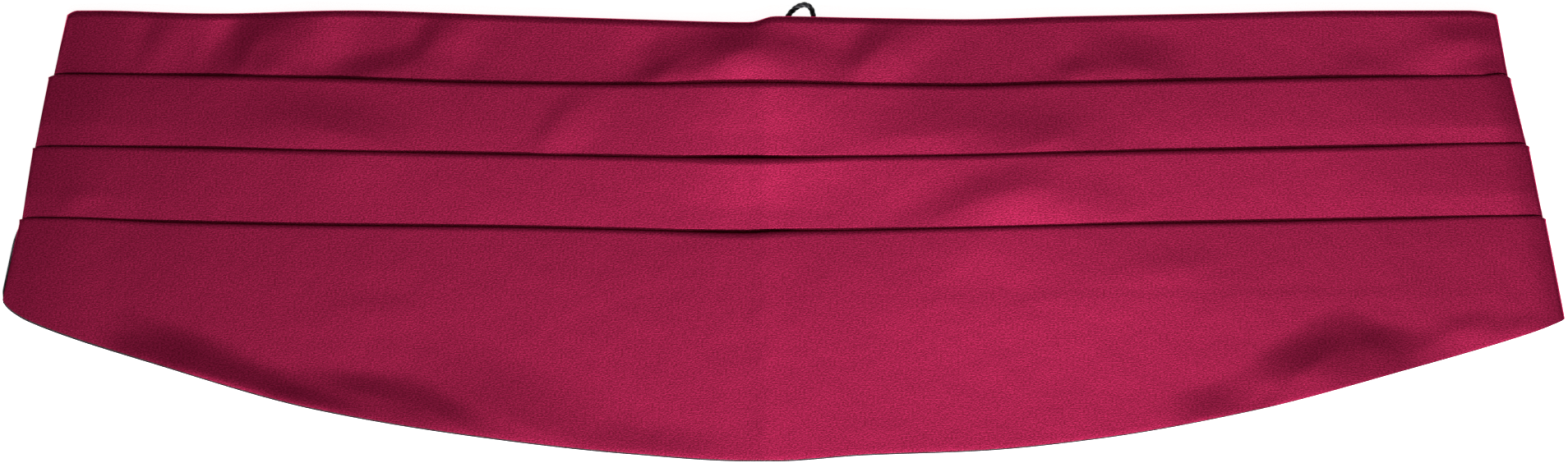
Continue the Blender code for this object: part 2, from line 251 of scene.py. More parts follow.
def place(strip, down, across, inset):
    """The x of a point of a strip, at a fraction of the way down it and across it."""
    row = STRIPS[strip]
    left = row.left_top + (row.left_bottom - row.left_top) * down + inset
    right = row.right_top + (row.right_bottom - row.right_top) * down - inset
    return left + (right - left) * (across + 1) / 2


def pad_height(x, y, spread=1.0):
    """How far the strap, the clasp and the loop lift the cloth off the surface. Spread softens the slopes."""
    height = 0.0
    for pad in PADS:
        along = 1 - (abs(x - pad.x) - pad.half_length) / (pad.slope * spread)
        over = 1 - (abs(y - pad.y) - pad.half_width) / (pad.slope * spread)
        height = height + pad.rise * eased(along) * eased(over)
    return height


# Lining: how far its edge stops short of the satin, or stands out past it
LINING_TUCKED = 0.8
LINING_HEM_SHOWS = 0.3
LINING_SIDE_SHOWS = 0.9  # at the lower left, where the satin has rolled away from it
SHOWS_FROM = 0.25  # share of the lower part's height over which it comes out
SHOWS_TO = 0.15  # and over which it goes back, above the hem
LINING_STEPS = 150  # across the garment
LINING_ROWS = (7, 7, 7, 14)  # down each strip

# Straps, in the place of their solids
STRAP = 1.0
STRAP_WALL = 0.86  # which leaves room for the ribs
STRAP_WIDTH = 25.0
STRAP_RIBS = 18
STRAP_RIB_RISE = 0.06
STRAP_STEPS_OF = 4.0  # length of a step of the mesh
# x and the height of the underside, along each strap
STRAP_LEFT_ROUTE = [(-249.9, 0.0), (73.5, 0.0)]
STRAP_RIGHT_ROUTE = [(84.0, 1.2), (93.5, 1.2), (98.5, 0.0), (248.2, 0.0)]

# Cord loop, in x and y, at the height of its middle
CORD = 1.95  # over its strands
CORD_HEIGHT = 1.0
CORD_STRANDS = 3
CORD_LAY = 5.2  # length over which a strand goes once round
CORD_POINT_SPACING = 0.5
STRAND = 1.06  # thickness of each
LOOP_ROUTE = [
    (-0.8, 57.0), (-0.4, 63.0), (0.0, 69.0), (1.4, 73.9), (3.4, 76.4), (5.6, 77.8), (7.8, 78.0),
    (9.4, 76.6), (10.1, 73.8), (10.4, 69.0), (10.8, 63.0), (11.4, 57.0),
]  # fmt: skip

# Stitches of thread
THREAD = 0.4
STRAP_END_TACKS = ((-247.0, 1.0), (245.4, -1.0))  # x of the outer row, and the way to the inner one
TACK_ROWS_APART = 5.0
TACK_HALF_LENGTH = 0.7
HOOK_TACKS = (66.0, 69.0, 72.0)  # x of each pair, one stitch at each edge of the hook
EYE_TACKS = (85.5, 88.5, 91.5)  # and of the eye
LOOP_TACKS = ((-0.3, 59.0), (0.0, 62.0), (11.3, 59.0), (11.0, 62.0))  # over the loop's two legs
LOOP_TACK_HALF_LENGTH = 1.4
LOOP_TACK_HEIGHT = 1.95

# Soft creases in the satin. Each is a low ridge with a steep side and a gentle one, in one strip: 0 is the
# top strip and 3 the lower part. x and y are the middle of the steep side, which looks to the left of the
# crease's direction: where that is towards the top edge, it turns from the light and darkens. steep and
# gentle are the widths of the two sides, and a gentle side of 250 is a plateau that reaches past the hem.
Crease = namedtuple("Crease", "strip x y half_length steep gentle angle rise")
CREASES = [
    # top strip, from the left
    Crease(0, -215.5, 65.0, 18.0, 6.0, 12.0, 66.0, 0.35),
    Crease(0, -186.5, 64.0, 26.0, 12.0, 30.0, 58.0, 2.1),
    Crease(0, -178.0, 59.5, 16.0, 9.0, 20.0, 14.0, 0.6),
    Crease(0, -122.0, 67.0, 18.0, 7.0, 16.0, 56.0, 0.6),
    Crease(0, -138.5, 59.0, 26.0, 8.0, 22.0, 14.0, 0.8),
    Crease(0, -40.5, 62.5, 30.0, 11.0, 22.0, 28.0, 0.6),
    Crease(0, -17.5, 67.5, 22.0, 12.0, 24.0, 16.0, 1.3),
    Crease(0, -42.5, 56.5, 20.0, 6.0, 8.0, 20.0, 0.4),
    Crease(0, 26.0, 64.0, 24.0, 9.0, 18.0, 45.0, 0.8),
    Crease(0, 98.0, 58.0, 10.0, 6.0, 8.0, 20.0, 0.25),
    Crease(0, 120.0, 63.0, 26.0, 13.0, 18.0, -8.0, 0.8),
    Crease(0, 193.0, 60.0, 14.0, 8.0, 10.0, 10.0, 0.25),
    Crease(0, 231.0, 70.0, 24.0, 8.0, 18.0, 0.0, 0.6),
    Crease(0, 236.0, 58.0, 14.0, 6.0, 14.0, 6.0, 0.45),
    # second strip
    Crease(1, -151.0, 42.0, 40.0, 14.0, 22.0, -12.0, 0.75),
    Crease(1, -79.0, 39.5, 20.0, 6.0, 14.0, 51.0, 0.3),
    Crease(1, 50.0, 42.0, 50.0, 16.0, 50.0, 6.0, 0.5),
    Crease(1, 84.0, 38.0, 32.0, 15.0, 34.0, 12.0, 0.65),
    # third strip
    Crease(2, -242.5, 14.5, 12.0, 6.0, 8.0, 30.0, 0.12),
    Crease(2, 78.0, 20.5, 30.0, 12.0, 34.0, 12.0, 0.6),
    Crease(2, 57.0, 13.0, 34.0, 9.0, 30.0, 24.0, 0.35),
    # lower part, most of them along the hem
    Crease(3, -140.0, -50.0, 28.0, 8.0, 250.0, -8.0, 0.9),
    Crease(3, -112.0, -58.5, 22.0, 8.0, 250.0, -27.0, 0.8),
    Crease(3, -83.0, -55.0, 48.0, 20.0, 250.0, -24.0, 0.9),
    Crease(3, -140.0, -22.0, 24.0, 5.0, 10.0, 0.0, 0.07),
    Crease(3, 143.0, -55.5, 20.0, 12.0, 250.0, 12.0, 0.8),
    Crease(3, 161.0, -46.0, 18.0, 12.0, 250.0, 40.0, 0.4),
    Crease(3, 176.0, -37.5, 25.0, 14.0, 250.0, 32.0, 1.5),
    Crease(3, 201.0, -33.5, 18.0, 11.0, 250.0, -20.0, 0.7),
    Crease(3, 230.5, -28.5, 15.0, 6.0, 10.0, 5.0, 0.25),
    Crease(3, 247.0, -28.5, 12.0, 5.0, 8.0, 15.0, 0.18),
    Crease(3, 129.0, -6.5, 26.0, 8.0, 14.0, 0.0, 0.15),
    # the edge of the fold hidden under the lower part
    Crease(3, 138.0, -19.5, 170.0, 3.0, 16.0, 0.5, 0.06),
]

# Where the hem stands up a little: a low ridge along it, with its crest just inside the edge. x is the
# middle, and width that of its inner side, which darkens.
HemCrease = namedtuple("HemCrease", "x half_length width rise")
HEM_CREASES = [
    HemCrease(-221.0, 12.0, 7.0, 0.4),
    HemCrease(-200.0, 28.0, 14.0, 2.5),
    HemCrease(-174.0, 24.0, 10.0, 1.5),
    HemCrease(-157.0, 24.0, 6.0, 0.6),
    HemCrease(-44.0, 34.0, 9.0, 0.35),
]
HEM_CREST = 1.7  # distance of the crest from the edge
HEM_DROP = 0.03  # share of the rise that is lost from the crest to the edge

CENTRE_CREASE_X = -6.0  # where the garment has been folded in two
CENTRE_CREASE_WIDTH = 4.0
CENTRE_CREASE_RISE = 0.2

FAN = 1.5  # how much longer each half of a crease gets, for each mm down its gentle side
FAN_OVER = 15.0  # as far as this down it


def steep_side(share):
    """0 to 1, level at the foot and still sloping at the crest."""
    share = np.clip(share, 0, 1)
    return share**2 * (2 - share)


def crease_height(x, y, strip, from_hem):
    """How far the creases of a strip lift the satin above its resting form."""
    height = 0.0 * x
    for crease in CREASES:
        turn = math.radians(crease.angle)
        along = (x - crease.x) * math.cos(turn) + (y - crease.y) * math.sin(turn)
        over = (y - crease.y) * math.cos(turn) - (x - crease.x) * math.sin(turn) + crease.steep / 2
        side = np.where(over > 0, steep_side(1 - over / crease.steep), eased(1 + over / crease.gentle))
        reach = crease.half_length + FAN * np.clip(-over, 0, FAN_OVER)
        ridge = crease.rise * side * eased(1 - np.abs(along) / reach)
        height = height + np.where(strip == crease.strip, ridge, 0.0)
    for crease in HEM_CREASES:
        inner = steep_side(1 - (from_hem - HEM_CREST) / crease.width)
        outer = 1 - HEM_DROP * np.clip(1 - from_hem / HEM_CREST, 0, 1)
        ridge = crease.rise * inner * outer * eased(1 - np.abs(x - crease.x) / crease.half_length)
        height = height + np.where(strip == 3, ridge, 0.0)
    return height


def centre_height(x):
    """How far the crease down the middle lifts the satin."""
    return CENTRE_CREASE_RISE * np.exp(-(((x - CENTRE_CREASE_X) / CENTRE_CREASE_WIDTH) ** 2))


# Satin sheet, on the lining
SATIN = 0.2  # thickness
LINING = 0.5
LOWEST = LINING + 0.1 + SATIN / 2  # middle of the satin that is turned under the edges
SATIN_LOW = 1.75  # and where one layer lies on the lining
TOP_RISE = 1.3  # how much higher the top strip lies near the top edge
TOP_BEND = 1.2  # more than 1 brings it down sooner
TURN_UNDER = 5.0  # width of the satin turned under at the top and at the hem
EDGE_TUCK = 0.6  # how far that stops short of the two ends
EDGE_RADIUS = 0.13  # of the turned edges at the top and at the hem
TOP_ROUND = (2.1, 0.55)  # length and drop of the round towards the top edge
HEM_INSET = (0.6, 0.3)  # how far the hem stops short of the panel's edge, at the left and at the right end
DIP = 0.9  # how far the satin sinks just before it runs in under a fold, where the pleats gape
DIP_OVER = 1.0  # distance from the fold over which it does
DIP_CLEAR = 1.4  # the even rows of the mesh end this many times that distance from the fold
PLEAT_DEPTH = 17.0  # from a folded edge to the turn hidden under it
TUCK_INSET = 1.8  # how far the layers hidden in a pleat stop short of the two ends
LAYER_SPACING = 0.85  # between the layers of a pleat at its fold, where it stands open
LAYER_SPACING_SEWN = 0.34  # and at the ends, where the pleats are sewn flat
TURN_SPACING = 0.22  # and at the hidden turn
PRESSED = 0.42  # least height of a pleat's face above the lowest layer, over that turn
PRESSED_SHARE = 0.3  # and its share of the pleat's height at the fold
LAST_SLOPE = 75.0  # length over which the lower part comes down from the last fold
LAST_DROP = (0.75, 0.2)  # and how much of the fold's height it loses, at the left end and at the right end
SUPPORT = 0.35  # a row of the mesh this close to a turn keeps the cloth beside it flat
UNDER_FADE = 12.0  # how far a crease goes on under a fold
LEVEL_OVER = 60.0  # the top strip's creases are level with its fold, more and more so towards it
OVER_FADE = 24.0  # how far below its fold a pleat is still lifted by the crease that runs in under it
SLACK = 0.3  # height of such a crease that lifts nothing
OPEN_FROM = 5.0  # distance from the end where a pleat starts to open
OPEN_OVER = 60.0  # and the distance over which it opens
GAPE_AT = -0.05  # where the pleats gape, across the garment
GAPE_WIDTH = 0.08
GAPE = 0.45  # share of the opening that they have only there
# How far a folded edge lies beyond the middle of the dark line that it makes, how much further where it
# gapes, and how much further the last one does on the left.
TIP_OUT = (1.0, 0.1, 0.35)
# Length of a fold's rounded top at the ends, how much more it is where it stands open, and where it gapes.
NOSE_ROUND = (1.1, 0.5, 0.6)
# The satin bridges over the pads: its share of their height, how much softer its slopes are, and how far in
# from the two ends it lies down on them.
BRIDGING = (0.65, 2.2, 45.0)
END_TURN = 1.2  # width over which the satin turns round at the two ends
SIDE_ROLL = (1.0, 26.0, 0.8, 10.0)  # drop and width at the left end, and at the right end
LEFT_SAG = (0.4, 100.0)  # depth and width of the left part's sinking towards its end

# Steps of the satin's mesh: across the garment, then in a cross-section down the top strip, under a fold,
# round the hidden turn, back out to the fold, down the face as far as that turn, on to the next fold, and
# down the lower part
ACROSS_STEPS = 264
TOP_STEPS = 14
UNDER_STEPS = 5
TURN_STEPS = 4
OUT_STEPS = 5
FACE_STEPS = 8
ON_STEPS = 6
LOWER_STEPS = 40
END_PLACES = (0.0, 0.06, 0.22, 0.5, 0.85, 1.25, 1.8, 2.6, 3.6, 4.8, 6.2, 7.8)  # mm from an end

# A point of a cross-section. strip says whose ends it lies between, inset how far it stops short of them,
# face whose creases it carries and share how much of them, over how much those of the strip above lift it.
Knot = namedtuple("Knot", "strip y z inset face share over", defaults=(0.0,))


def gape_at(across):
    """1 where the pleats gape most, and nothing away from there."""
    return math.exp(-(((across - GAPE_AT) / GAPE_WIDTH) ** 2))


def openness(across):
    """How far the pleats stand open: 0 at the sewn ends and 1 where they gape most."""
    inside = (1 - abs(across)) * HALF_WIDTH
    return float(eased((inside - OPEN_FROM) / OPEN_OVER)) * (1 - GAPE + GAPE * gape_at(across))


def dip_at(distance, across, strip):
    """How far the satin has sunk at a distance from the fold that it runs in under."""
    return DIP * gape_at(across) * (1 - min(distance / DIP_OVER, 1.0)) * (strip > 0)


def faded(distance, over):
    """1 at a fold, and nothing from some distance on."""
    return float(eased(1 - distance / over))


def arc(y, z, radius, towards, upward, steps):
    """A half turn of cloth in cross-section, about a middle point."""
    return [
        (y + towards * radius * math.sin(turn), z - upward * radius * math.cos(turn))
        for turn in spaced(0, math.pi, steps)
    ]


def turned_under(edge, towards):
    """The satin turned under at an edge, from its raw edge out to the turn."""
    middle = edge - towards * EDGE_RADIUS
    turn = [math.radians(angle) for angle in (0, 30, 60, 90)]
    return [(edge - towards * reach, LOWEST) for reach in (TURN_UNDER, TURN_UNDER / 2)] + [
        (middle + towards * EDGE_RADIUS * math.sin(a), LOWEST + EDGE_RADIUS * (1 - math.cos(a))) for a in turn
    ]


def rounded_edge(edge, level):
    """The satin as it rounds over the top edge onto the face."""
    length, drop = TOP_ROUND
    turn = [math.radians(angle) for angle in (0, 30, 60, 90)]
    return [(edge - length * (1 - math.cos(a)), level - drop * (1 - math.sin(a))) for a in turn]


def nose(tip, low, high, length):
    """A folded edge from its underside round to its top, which is rounder."""
    radius = (high - low) / 2
    under = [math.radians(angle) for angle in (0, 30, 60)]
    over = [math.radians(angle) for angle in (0, 15, 32, 50, 70, 90)]
    return [
        (tip - radius * (1 - math.sin(turn)), low + radius * (1 - math.cos(turn))) for turn in under
    ] + [(tip - length * (1 - math.cos(turn)), low + radius * (1 + math.sin(turn))) for turn in over]


def between(ends, across):
    """A value that goes evenly from one at the left end to another at the right end."""
    return ends[0] + (ends[1] - ends[0]) * (across + 1) / 2


def last_face(distance, top_level, across):
    """Height of the lower part above the lowest layer, at a distance below the last fold."""
    t = min(distance / LAST_SLOPE, 1.0)
    return top_level * (1 - between(LAST_DROP, across) * (2 * t - t**2))


def satin_path(line, open_share):
    """The middle of the satin in one cross-section, from the top edge down to the hem."""
    spacing = LAYER_SPACING_SEWN + (LAYER_SPACING - LAYER_SPACING_SEWN) * open_share
    top_level = 2 * spacing
    pressed = max(PRESSED_SHARE * top_level, PRESSED)
    gape = gape_at(line.across)
    out = TIP_OUT[0] - SATIN / 2 + TIP_OUT[1] * gape
    out_last = out + TIP_OUT[2] * float(eased(0.5 - line.across))
    tips = [line.top, line.fold_1 + out, line.fold_2 + out, line.fold_3 + out_last, line.hem]
    high_edge = SATIN_LOW + TOP_RISE
    path = [Knot(0, y, z, EDGE_TUCK if z == LOWEST else 0.0, 0, 0.0) for y, z in turned_under(line.top, 1)]
    path += [Knot(0, y, z, 0.0, 0, 1.0) for y, z in rounded_edge(line.top, high_edge)]
    face_top = path[-1].y
    end = tips[1]
    for share in [SUPPORT / (face_top - end)] + spaced(0, 1, TOP_STEPS)[1:]:
        y = face_top + (end - face_top) * share
        path.append(Knot(0, y, SATIN_LOW + TOP_RISE * (1 - share) ** TOP_BEND, 0.0, 0, 1.0))
    for strip in (1, 2, 3):
        tip = tips[strip]
        radius = spacing / 2
        turn_rise = min(TURN_SPACING, spacing)
        low_end = tip - radius
        rounded = NOSE_ROUND[0] + NOSE_ROUND[1] * open_share + NOSE_ROUND[2] * gape * (strip > 1)
        high_end = tip - rounded
        turn = tip - PLEAT_DEPTH
        for y in spaced(low_end, turn, UNDER_STEPS)[:-1]:
            share = faded(tip - y, UNDER_FADE)
            level = SATIN_LOW - dip_at(0.0, line.across, strip - 1) * share
            path.append(Knot(strip, y, level, TUCK_INSET, strip - 1, share))
        path += [
            Knot(strip, y, z, TUCK_INSET, strip, 0.0)
            for y, z in arc(turn, SATIN_LOW + turn_rise / 2, turn_rise / 2, -1, 1, TURN_STEPS)
        ]
        for share in spaced(0, 1, OUT_STEPS)[1:-1]:
            y = turn + (low_end - turn) * share
            level = SATIN_LOW + turn_rise + (spacing - turn_rise) * share
            inset = TUCK_INSET * (1 - share)
            carried, lifted = faded(tip - y, UNDER_FADE), faded(tip - y, OVER_FADE)
            path.append(Knot(strip, y, level, inset, strip, carried, lifted))
        path += [
            Knot(strip, y, z, 0.0, strip, 1.0, faded(tip - y, OVER_FADE))
            for y, z in nose(tip, SATIN_LOW + spacing, SATIN_LOW + top_level, rounded)
        ]
        if strip < 3:
            for share in [SUPPORT / (high_end - turn)] + spaced(0, 1, FACE_STEPS)[1:]:
                y = high_end + (turn - high_end) * share
                level = top_level + (pressed - top_level) * share
                path.append(Knot(strip, y, SATIN_LOW + level, 0.0, strip, 1.0, faded(tip - y, OVER_FADE)))
            end = tips[strip + 1]
            beside = DIP_OVER / (turn - end)
            for share in spaced(0, 1 - DIP_CLEAR * beside, ON_STEPS)[1:] + [1 - beside, 1]:
                y = turn + (end - turn) * share
                level = pressed * (1 - share) - dip_at(y - end, line.across, strip)
                path.append(Knot(strip, y, SATIN_LOW + level, 0.0, strip, 1.0, faded(tip - y, OVER_FADE)))
        else:
            hem = line.hem + between(HEM_INSET, line.across)
            room = high_end - hem
            rows = spaced(0, 1, LOWER_STEPS)[1:-1]
            for share in [SUPPORT / room] + rows + [1 - SUPPORT / room]:
                y = high_end - room * share
                level = last_face(room * share, top_level, line.across)
                path.append(Knot(3, y, SATIN_LOW + level, 0.0, 3, 1.0, faded(tip - y, OVER_FADE)))
            hem_level = SATIN_LOW + last_face(room, top_level, line.across)
            path += [Knot(3, hem, hem_level, 0.0, 3, 1.0)]
            path += [
                Knot(3, y, z, EDGE_TUCK if z == LOWEST else 0.0, 3, 0.0)
                for y, z in reversed(turned_under(hem, -1))
            ]
    return path


def across_places(steps):
    """Places across the garment, close together at its two ends, where the cloth turns round."""
    ends = [1 - place / HALF_WIDTH for place in END_PLACES]
    inner = spaced(-ends[-1], ends[-1], steps - 2 * (len(ends) - 1))
    return [-end for end in ends[:-1]] + inner + list(reversed(ends[:-1]))


def grid_places(mesh, steps, rows):
    """The column and row of each point of a 2 m grid."""
    flat = np.zeros(len(mesh.vertices) * 3, np.float32)
    mesh.vertices.foreach_get("co", flat)
    flat = flat.reshape(-1, 3)
    column = np.rint((flat[:, 0] + 1) / 2 * steps).astype(int)
    row = np.rint((1 - flat[:, 1]) / 2 * (rows - 1)).astype(int)
    return column, row


def shape_grid(name, x, y, z, cloth_along, cloth_down, thickness):
    """A sheet of cloth from a grid: each point goes to its place, and the weave is laid out in metres."""
    cloth_along, cloth_down = np.broadcast_to(cloth_along, x.shape), np.broadcast_to(cloth_down, x.shape)
    steps, rows = x.shape[0] - 1, x.shape[1]
    deselect_all()
    bpy.ops.mesh.primitive_grid_add(x_subdivisions=steps, y_subdivisions=rows - 1, size=2)
    item = bpy.context.active_object
    item.name = item.data.name = name
    mesh = item.data
    i, j = grid_places(mesh, steps, rows)
    points = np.stack([x[i, j], y[i, j], z[i, j]], 1) * MM
    mesh.vertices.foreach_set("co", points.astype(np.float32).ravel())
    corners = np.zeros(len(mesh.loops), np.int32)
    mesh.loops.foreach_get("vertex_index", corners)
    cloth = np.stack([cloth_along[i, j], -cloth_down[i, j]], 1)[corners] * MM
    mesh.uv_layers[0].name = "cloth"
    mesh.uv_layers[0].data.foreach_set("uv", cloth.astype(np.float32).ravel())
    mesh.update()
    apply_modifier(item, "SOLIDIFY", thickness=thickness * MM, offset=0.0)
    smooth(item)
    return item


def lay_panel(name, path_of, reach_of, height_of, steps, thickness):
    """A panel laid section by section along its folded path, from one end of the garment to the other."""
    places = across_places(steps)
    lines = [line_at(across) for across in places]
    paths = [path_of(line, openness(line.across)) for line in lines]
    shape = (len(places), len(paths[0]))
    x, y, z, left_edge, right_edge, from_hem = (np.zeros(shape) for _ in range(6))
    first_fold, own_fold, face, share, over = (np.zeros(shape) for _ in range(5))
    for i, (line, path) in enumerate(zip(lines, paths)):
        ends = [line.top, line.fold_1, line.fold_2, line.fold_3, line.hem]
        for j, knot in enumerate(path):
            top, bottom = ends[knot.strip], ends[knot.strip + 1]
            down = min(max((top - knot.y) / (top - bottom), 0.0), 1.0)
            reach = reach_of(knot.strip, down, line.across)
            x[i, j] = place(knot.strip, down, line.across, knot.inset) + reach
            y[i, j] = knot.y
            z[i, j] = knot.z
            left_edge[i, j] = place(knot.strip, down, -1.0, 0.0)
            right_edge[i, j] = place(knot.strip, down, 1.0, 0.0)
            first_fold[i, j] = line.fold_1
            own_fold[i, j] = ends[knot.face]
            from_hem[i, j] = knot.y - line.hem
            face[i, j] = knot.face
            share[i, j] = knot.share
            over[i, j] = knot.over
    creases = crease_height(x, y, face, from_hem) + centre_height(x)
    # the top strip is pulled level where it runs in under the first fold
    at_fold = crease_height(x, first_fold, np.where(face == 0, 0, -1), from_hem)
    creases = creases - at_fold * eased(1 - (y - first_fold) / LEVEL_OVER)
    # the other folds are lifted by the crease that runs in under them
    under_fold = crease_height(x, own_fold, np.where(face == 1, -1, face - 1), from_hem)
    lift = np.maximum(under_fold - SLACK, 0.0)
    lifted = z + share * creases + over * lift
    z = height_of(x, y, lifted, x - left_edge, right_edge - x)
    run = np.hypot(np.diff(y, axis=1), np.diff(z, axis=1))
    cloth_down = np.concatenate([np.zeros((len(places), 1)), np.cumsum(run, axis=1)], 1)
    return shape_grid(name, x, y, z, x, cloth_down, thickness)


def no_reach(strip, down, across):
    """The satin's ends are where the strips' ends are."""
    return 0.0


def satin_height(x, y, z, from_left, from_right):
    """The satin rolls down to the lining at the two ends, and lies over what is behind it."""
    left_drop, left_width, right_drop, right_width = SIDE_ROLL
    roll = left_drop * np.clip(1 - from_left / left_width, 0, 1) ** 2
    roll = roll + right_drop * np.clip(1 - from_right / right_width, 0, 1) ** 2
    roll = roll + LEFT_SAG[0] * np.clip(1 - from_left / LEFT_SAG[1], 0, 1) ** 2
    height = np.maximum(z - roll, LOWEST)
    turned = np.clip(1 - np.minimum(from_left, from_right) / END_TURN, 0, 1)
    height = LOWEST + (height - LOWEST) * np.sqrt(1 - turned**2)
    share, spread, ends = BRIDGING
    share = share + (1 - share) * eased(1 - np.minimum(from_left, from_right) / ends)
    return np.maximum(height + share * pad_height(x, y, spread), LOWEST + pad_height(x, y))


def lining_path(line, open_share):
    """The middle of the lining in one cross-section. It carries none of the satin's creases."""
    edges = [line.top - LINING_TUCKED, line.fold_1, line.fold_2, line.fold_3, line.hem - LINING_HEM_SHOWS]
    path = [Knot(0, edges[0], LINING / 2, LINING_TUCKED, 0, 0.0)]
    for strip in range(4):
        rows = spaced(edges[strip], edges[strip + 1], LINING_ROWS[strip])[1:]
        path += [Knot(strip, y, LINING / 2, LINING_TUCKED, strip, 0.0) for y in rows]
    return path


def lining_reach(strip, down, across):
    """The lining slides out past the satin at the lower left end."""
    if strip < 3 or across > 0:
        return 0.0
    out = eased(down / SHOWS_FROM) * eased((1 - down) / SHOWS_TO)
    return -(LINING_TUCKED + LINING_SIDE_SHOWS * float(out)) * float(eased(-across))


def lining_height(x, y, z, from_left, from_right):
    """The lining lies close on what is behind it."""
    return z + pad_height(x, y)


# Elastic straps, clasp and cord


def make_strap(name, route):
    """Woven elastic: cords of rubber run along it, and stand up as fine ribs."""
    steps = []
    for (x1, z1), (x2, z2) in zip(route, route[1:]):
        count = max(round((x2 - x1) / STRAP_STEPS_OF), 2)
        for i in range(count):
            steps.append((x1 + (x2 - x1) * i / count, z1 + (z2 - z1) * float(eased(i / count))))
    steps.append(route[-1])
    along = np.array(steps)
    across = np.linspace(STRAP_WIDTH / 2, -STRAP_WIDTH / 2, STRAP_RIBS * 4 + 1)
    ribs = STRAP_RIB_RISE * np.cos(across / STRAP_WIDTH * STRAP_RIBS * 2 * math.pi)
    x = np.repeat(along[:, :1], len(across), 1)
    y = np.repeat(across[None, :] + STRAP_HEIGHT, len(along), 0)
    z = along[:, 1:] + STRAP / 2 + ribs[None, :]
    return shape_grid(name, x, y, z, x, STRAP_WIDTH / 2 - across, STRAP_WALL)


def make_thread_tacks(name, tacks):
    """Short stitches of thread, each a bar with rounded ends from one point to another."""
    bars = []
    for start, end in tacks:
        start, end = Vector(start) * MM, Vector(end) * MM
        deselect_all()
        bpy.ops.mesh.primitive_cylinder_add(vertices=8, radius=THREAD / 2 * MM, depth=(end - start).length)
        bar = bpy.context.active_object
        bar.rotation_euler = (end - start).to_track_quat("Z", "Y").to_euler()
        bar.location = (start + end) / 2
        apply_modifier(bar, "BEVEL", width=THREAD / 4 * MM, segments=2, limit_method="ANGLE")
        bars.append(bar)
    item = join(bars, name)
    bpy.ops.object.transform_apply(location=True, rotation=True, scale=True)
    smooth(item)
    return item


def smooth_route(route, spacing):
    """Points at an even spacing on a smooth curve through a route."""
    fine = []
    padded = [route[0]] + route + [route[-1]]
    for a, b, c, d in zip(padded, padded[1:], padded[2:], padded[3:]):
        a, b, c, d = (Vector(point) for point in (a, b, c, d))
        for t in spaced(0, 1, 20)[:-1]:
            cubic = (2 * a - 5 * b + 4 * c - d) * t**2 + (3 * b - a - 3 * c + d) * t**3
            fine.append(0.5 * (2 * b + (c - a) * t + cubic))
    fine.append(Vector(route[-1]))
    reached = [0.0]
    for a, b in zip(fine, fine[1:]):
        reached.append(reached[-1] + (b - a).length)
    points = []
    for distance in spaced(0, reached[-1], round(reached[-1] / spacing)):
        i = min(max(bisect.bisect_right(reached, distance) - 1, 0), len(fine) - 2)
        share = (distance - reached[i]) / (reached[i + 1] - reached[i])
        points.append(fine[i].lerp(fine[i + 1], share))
    return points


def make_cord_loop():
    """Three strands twisted round each other, bent into a loop and sewn down at both ends."""
    route = smooth_route(LOOP_ROUTE, CORD_POINT_SPACING)
    middle = [Vector((point.x, point.y, CORD_HEIGHT)) for point in route]
    length = sum((b - a).length for a, b in zip(middle, middle[1:]))
    strands = []
    for strand in range(CORD_STRANDS):
        curve = bpy.data.curves.new("strand", "CURVE")
        curve.dimensions = "3D"
        curve.bevel_depth = STRAND / 2 * MM
        curve.bevel_resolution = 3
        curve.use_fill_caps = True
        spline = curve.splines.new("POLY")
        spline.points.add(len(middle) - 1)
        for i, point in enumerate(middle):
            before, after = middle[max(i - 1, 0)], middle[min(i + 1, len(middle) - 1)]
            forward = (after - before).normalized()
            side = Vector((-forward.y, forward.x, 0.0))
            turn = 2 * math.pi * (i * CORD_POINT_SPACING / CORD_LAY + strand / CORD_STRANDS)
            offset = (side * math.cos(turn) + Vector((0, 0, 1)) * math.sin(turn)) * (CORD - STRAND) / 2
            spline.points[i].co = (*((point + offset) * MM), 1.0)
        item = bpy.data.objects.new("strand", curve)
        bpy.context.scene.collection.objects.link(item)
        use(item)
        bpy.ops.object.convert(target="MESH")
        strands.append(bpy.context.active_object)
    cord = join(strands, "cord_loop")
    smooth(cord)
    path = [point * MM for point in middle]
    return cord, path, length * MM


# Materials


def colour(code):
    """An sRGB hex value as linear light."""
    parts = [int(code[i : i + 2], 16) / 255 for i in (1, 3, 5)]
    return tuple(p / 12.92 if p <= 0.04045 else ((p + 0.055) / 1.055) ** 2.4 for p in parts) + (1.0,)


def add_node(material, kind, settings=None, links=None):
    """One node with its settings, and links into its sockets from (node, socket) pairs."""
    node = material.node_tree.nodes.new(kind)
    for name, value in (settings or {}).items():
        if name in node.inputs:
            node.inputs[name].default_value = value
        else:
            setattr(node, name, value)
    for name, source in (links or {}).items():
        material.node_tree.links.new(source[0].outputs[source[1]], node.inputs[name])
    return node


def new_material(name):
    material = bpy.data.materials.new(name)
    material.use_nodes = True
    return material, material.node_tree.nodes["Principled BSDF"]


SATIN_COCKLE = 16.0  # size in mm of the soft unevenness of pressed cloth
SATIN_COCKLE_RISE = 0.16  # and its height
SATIN_GRAIN = 0.55  # mm; the real threads are 0.1 mm apart, drawn as coarse as the picture can show
THREAD_RISE = 0.1  # mm that the threads of a weave stand up
BAND_SPACING = 0.314  # metres between the bands of a wave pattern at scale 1
FLOOR_GLOW = 0.93


